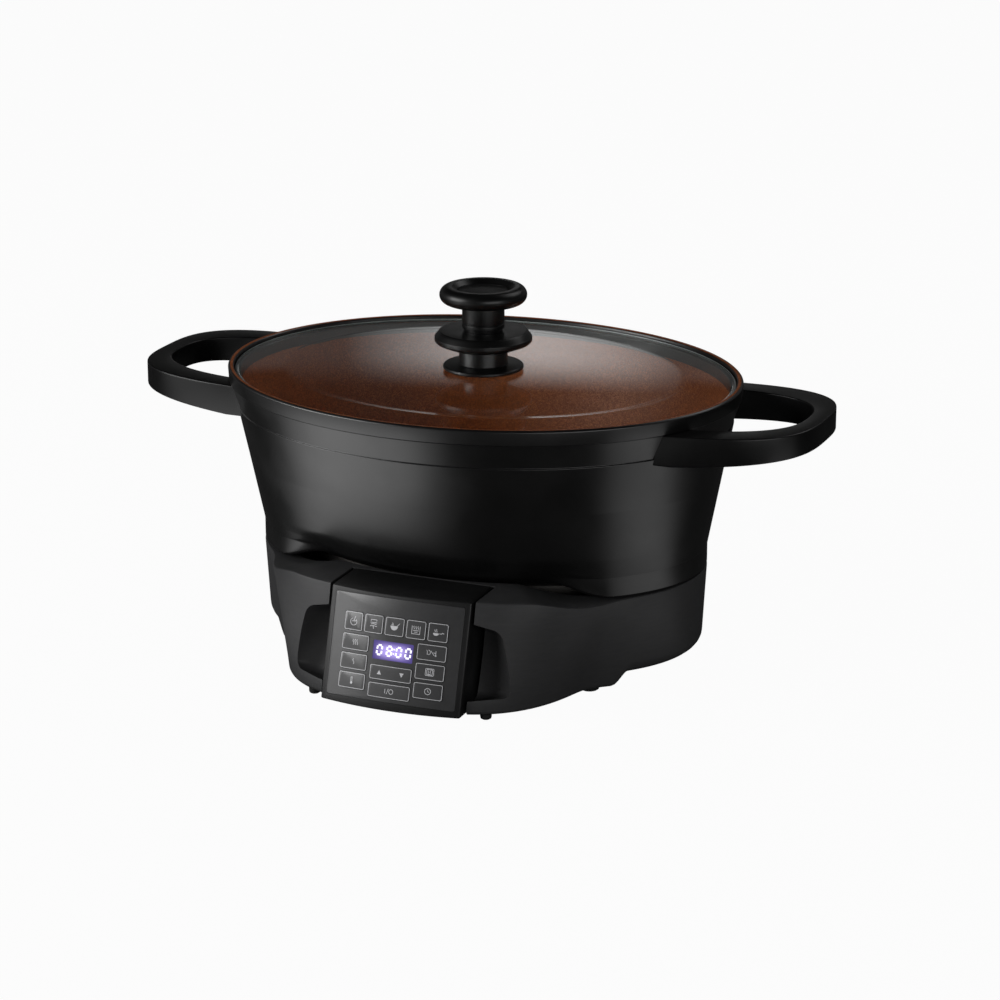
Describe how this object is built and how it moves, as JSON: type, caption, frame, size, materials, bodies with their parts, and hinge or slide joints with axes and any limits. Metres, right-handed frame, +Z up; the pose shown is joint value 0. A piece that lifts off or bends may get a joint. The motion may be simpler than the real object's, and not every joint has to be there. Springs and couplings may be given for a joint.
{
  "type": "multicooker",
  "caption": "Oval electric multicooker: a lift-out pot with loop handles and a loose glass lid with a knob, in a low heated base with a tilted key panel.",
  "frame": {"origin": "on the table, under the middle of the whole cooker's length and depth", "axes": "+X along the cooker towards its right handle, -Y out of the key panel, +Z up"},
  "size_m": [0.508, 0.323, 0.2625],
  "materials": {
    "base_plastic": "fine-grained matte black moulding",
    "cover_plastic": "matte black moulding",
    "foot_rubber": "matte black rubber",
    "plated_steel": "zinc-plated steel",
    "shield_steel": "pressed bare steel",
    "spring_steel": "bright spring wire",
    "plate_aluminium": "cast and faced aluminium",
    "fuse_ceramic": "ivory sleeve",
    "board_laminate": "green circuit laminate",
    "spacer_brass": "turned brass",
    "relay_plastic": "blue relay case",
    "capacitor_plastic": "yellow film case",
    "terminal_plastic": "white terminal moulding",
    "wire_sheath": "brown and white wire insulation",
    "panel_plastic": "fine-grained matte black moulding",
    "plate_film": "dark grey printed key film",
    "window_glass": "tinted display window with a violet glow",
    "display_plastic": "black display case",
    "key_plastic": "dark grey key cap with a silver outline",
    "pot_coating": "satin black coating outside, speckled copper coating inside",
    "handle_plastic": "satin black moulding",
    "lid_glass": "clear tempered glass",
    "knob_plastic": "matte black moulding",
    "knob_disc": "satin black disc",
    "seal_silicone": "black silicone"
  },
  "bodies": {
    "base": {"base_housing": "base_plastic", "bottom_cover": "cover_plastic", "main_feet": "foot_rubber", "front_feet": "foot_rubber", "cover_screws": "plated_steel", "heat_shield": "shield_steel", "hot_plate": "plate_aluminium", "heating_element": "plated_steel", "plate_studs": "plated_steel", "thermal_fuse": "fuse_ceramic", "sensor_spring": "spring_steel", "sensor_guide": "plated_steel", "power_board": "board_laminate", "board_spacers": "spacer_brass", "relay": "relay_plastic", "filter_capacitor": "capacitor_plastic", "terminal_block": "terminal_plastic", "supply_wires": "wire_sheath", "element_wires": "wire_sheath", "cord_gland": "foot_rubber", "panel_housing": "panel_plastic", "panel_plate": "plate_film", "display_window": "window_glass", "display_module": "display_plastic", "control_board": "board_laminate", "panel_screws": "plated_steel"},
    "pot": {"pot_body": "pot_coating", "pot_handle_left": "handle_plastic", "pot_handle_right": "handle_plastic", "handle_studs": "plated_steel"},
    "lid": {"lid_glass": "lid_glass", "knob_foot": "knob_plastic", "knob_guard": "knob_plastic", "knob_stem": "knob_plastic", "knob_cap": "knob_plastic", "knob_inlay": "knob_disc", "knob_seal": "seal_silicone", "knob_washer": "plated_steel", "knob_screw": "plated_steel"},
    "sensor": {"sensor_cap": "plate_aluminium"},
    "key_program_1": {"key_program_1": "key_plastic"},
    "key_program_2": {"key_program_2": "key_plastic"},
    "key_program_3": {"key_program_3": "key_plastic"},
    "key_program_4": {"key_program_4": "key_plastic"},
    "key_program_5": {"key_program_5": "key_plastic"},
    "key_left_1": {"key_left_1": "key_plastic"},
    "key_left_2": {"key_left_2": "key_plastic"},
    "key_left_3": {"key_left_3": "key_plastic"},
    "key_right_1": {"key_right_1": "key_plastic"},
    "key_right_2": {"key_right_2": "key_plastic"},
    "key_right_3": {"key_right_3": "key_plastic"},
    "key_arrows": {"key_arrows": "key_plastic"},
    "key_power": {"key_power": "key_plastic"}
  },
  "joints": [
    {"name": "pot_lift", "type": "slide", "parent": "base", "child": "pot", "axis": [0, 0, 1], "range_m": [0, 0.12]},
    {"name": "lid_lift", "type": "slide", "parent": "pot", "child": "lid", "axis": [0, 0, 1], "range_m": [0, 0.12]},
    {"name": "sensor_press", "type": "slide", "parent": "base", "child": "sensor", "axis": [0, 0, 1], "range_m": [-0.0025, 0], "stiffness_N_per_m": 900, "deforming": ["sensor_spring"]},
    {"name": "press_program_1", "type": "slide", "parent": "base", "child": "key_program_1", "axis": [-0.1336, -0.9526, 0.2732], "range_m": [-0.0007, 0], "stiffness_N_per_m": 1500},
    {"name": "press_program_2", "type": "slide", "parent": "base", "child": "key_program_2", "axis": [-0.067, -0.9591, 0.275], "range_m": [-0.0007, 0], "stiffness_N_per_m": 1500},
    {"name": "press_program_3", "type": "slide", "parent": "base", "child": "key_program_3", "axis": [0, -0.9613, 0.2756], "range_m": [-0.0007, 0], "stiffness_N_per_m": 1500},
    {"name": "press_program_4", "type": "slide", "parent": "base", "child": "key_program_4", "axis": [0.067, -0.9591, 0.275], "range_m": [-0.0007, 0], "stiffness_N_per_m": 1500},
    {"name": "press_program_5", "type": "slide", "parent": "base", "child": "key_program_5", "axis": [0.1336, -0.9526, 0.2732], "range_m": [-0.0007, 0], "stiffness_N_per_m": 1500},
    {"name": "press_left_1", "type": "slide", "parent": "base", "child": "key_left_1", "axis": [-0.121, -0.9542, 0.2736], "range_m": [-0.0007, 0], "stiffness_N_per_m": 1500},
    {"name": "press_left_2", "type": "slide", "parent": "base", "child": "key_left_2", "axis": [-0.121, -0.9542, 0.2736], "range_m": [-0.0007, 0], "stiffness_N_per_m": 1500},
    {"name": "press_left_3", "type": "slide", "parent": "base", "child": "key_left_3", "axis": [-0.121, -0.9542, 0.2736], "range_m": [-0.0007, 0], "stiffness_N_per_m": 1500},
    {"name": "press_right_1", "type": "slide", "parent": "base", "child": "key_right_1", "axis": [0.121, -0.9542, 0.2736], "range_m": [-0.0007, 0], "stiffness_N_per_m": 1500},
    {"name": "press_right_2", "type": "slide", "parent": "base", "child": "key_right_2", "axis": [0.121, -0.9542, 0.2736], "range_m": [-0.0007, 0], "stiffness_N_per_m": 1500},
    {"name": "press_right_3", "type": "slide", "parent": "base", "child": "key_right_3", "axis": [0.121, -0.9542, 0.2736], "range_m": [-0.0007, 0], "stiffness_N_per_m": 1500},
    {"name": "press_arrows", "type": "slide", "parent": "base", "child": "key_arrows", "axis": [0.0017, -0.9613, 0.2756], "range_m": [-0.0007, 0], "stiffness_N_per_m": 1500},
    {"name": "press_power", "type": "slide", "parent": "base", "child": "key_power", "axis": [0.0017, -0.9613, 0.2756], "range_m": [-0.0007, 0], "stiffness_N_per_m": 1500}
  ]
}
